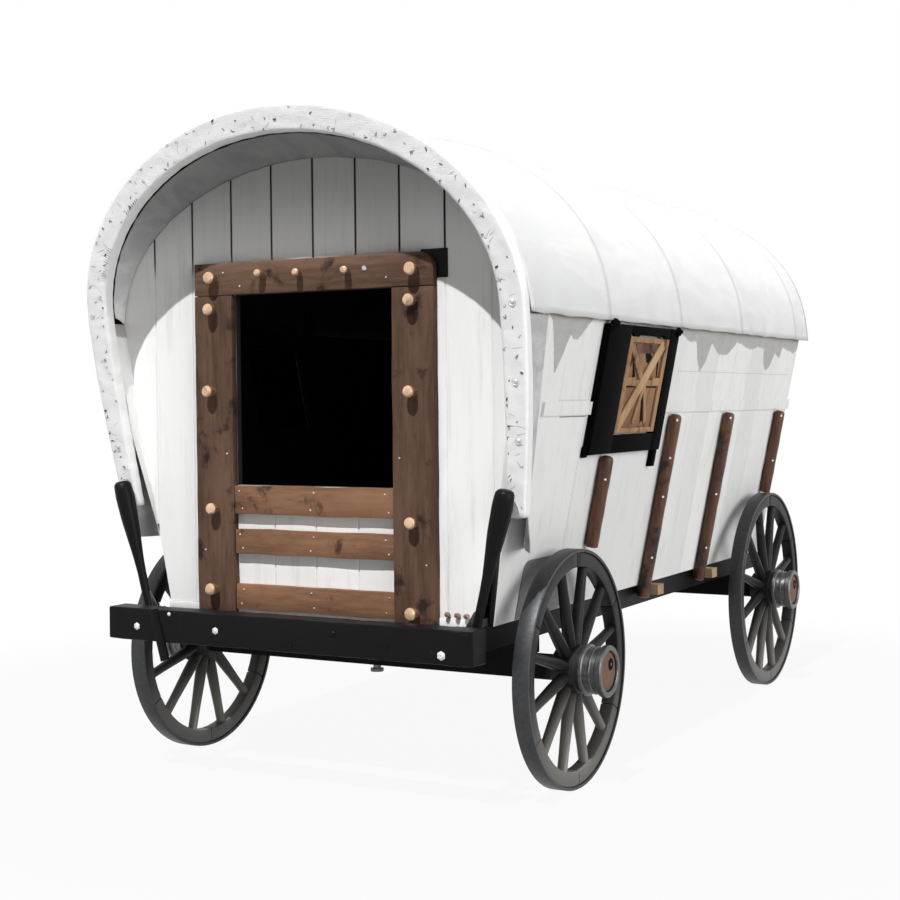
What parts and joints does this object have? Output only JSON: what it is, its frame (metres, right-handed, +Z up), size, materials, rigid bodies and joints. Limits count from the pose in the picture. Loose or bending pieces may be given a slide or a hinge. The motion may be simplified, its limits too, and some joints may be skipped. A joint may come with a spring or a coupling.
{
  "type": "covered wagon",
  "caption": "Covered wagon: a boarded body with flared sides under a canvas hood, a framed front doorway, hinged window shutters, spoked wheels and a steering front axle.",
  "frame": {"origin": "middle of the footprint, on the ground", "axes": "+X to the right side of the wagon as seen from its front doorway, +Y to the rear, +Z up"},
  "size_m": [2.046, 3.6714, 2.56],
  "materials": {
    "white_board": "white limewashed boards",
    "canvas": "white cotton canvas",
    "brown_wood": "dark brown stain",
    "pale_wood": "oiled pale wood",
    "black_paint": "worn black paint",
    "black_wood": "blackened wood",
    "iron": "dark forged iron",
    "bare_wood": "weathered bare wood"
  },
  "bodies": {
    "wagon": {"bow_1": "bare_wood", "bow_2": "bare_wood", "bow_3": "bare_wood", "bow_4": "bare_wood", "canopy": "canvas", "cross_sill_1": "bare_wood", "cross_sill_2": "bare_wood", "door_head": "brown_wood", "door_post_left": "brown_wood", "door_post_right": "brown_wood", "door_slat_1": "brown_wood", "door_slat_2": "brown_wood", "door_slat_3": "brown_wood", "floor": "bare_wood", "front_arch": "canvas", "front_beam": "black_paint", "front_bolster": "black_wood", "front_wall": "white_board", "hood_cheek_left": "canvas", "hood_cheek_right": "canvas", "hood_lining": "canvas", "kingpin": "iron", "lever_left": "black_paint", "lever_right": "black_paint", "reach_pole": "black_wood", "rear_axle": "black_wood", "rear_bolster": "black_wood", "rear_wall": "white_board", "side_sill_left": "black_paint", "side_sill_right": "black_paint", "side_wall_left": "white_board", "side_wall_right": "white_board", "stake_1_left": "brown_wood", "stake_1_right": "brown_wood", "stake_2_left": "brown_wood", "stake_2_right": "brown_wood", "stake_3_left": "brown_wood", "stake_3_right": "brown_wood", "stake_4_left": "brown_wood", "stake_4_right": "brown_wood", "window_frame_left": "black_paint", "window_frame_right": "black_paint"},
    "front_gear": {"front_axle": "black_wood"},
    "wheel_front_right": {"tyre_front_right": "iron", "wheel_front_right": "black_wood", "hub_front_right": "iron"},
    "wheel_front_left": {"tyre_front_left": "iron", "wheel_front_left": "black_wood", "hub_front_left": "iron"},
    "wheel_rear_right": {"tyre_rear_right": "iron", "wheel_rear_right": "black_wood", "hub_rear_right": "iron"},
    "wheel_rear_left": {"tyre_rear_left": "iron", "wheel_rear_left": "black_wood", "hub_rear_left": "iron"},
    "shutter_right": {"shutter_right": "brown_wood"},
    "shutter_left": {"shutter_left": "brown_wood"}
  },
  "joints": [
    {"name": "front_steering", "type": "hinge", "parent": "wagon", "child": "front_gear", "pos_m": [0, -1.10469, 0.45602], "axis": [0, 0, 1], "range_deg": [-9, 9]},
    {"name": "wheel_front_right_spin", "type": "hinge", "parent": "front_gear", "child": "wheel_front_right", "pos_m": [0.867, -1.10469, 0.45602], "axis": [1, 0, 0], "continuous": true},
    {"name": "wheel_front_left_spin", "type": "hinge", "parent": "front_gear", "child": "wheel_front_left", "pos_m": [-0.867, -1.10469, 0.45602], "axis": [1, 0, 0], "continuous": true},
    {"name": "wheel_rear_right_spin", "type": "hinge", "parent": "wagon", "child": "wheel_rear_right", "pos_m": [0.867, 1.34131, 0.49444], "axis": [1, 0, 0], "continuous": true},
    {"name": "wheel_rear_left_spin", "type": "hinge", "parent": "wagon", "child": "wheel_rear_left", "pos_m": [-0.867, 1.34131, 0.49444], "axis": [1, 0, 0], "continuous": true},
    {"name": "shutter_right_hinge", "type": "hinge", "parent": "wagon", "child": "shutter_right", "pos_m": [0.96513, -0.51169, 1.7338], "axis": [0, -1, 0], "range_deg": [0, 85]},
    {"name": "shutter_left_hinge", "type": "hinge", "parent": "wagon", "child": "shutter_left", "pos_m": [-0.96513, -0.51169, 1.7338], "axis": [0, 1, 0], "range_deg": [0, 85]}
  ]
}
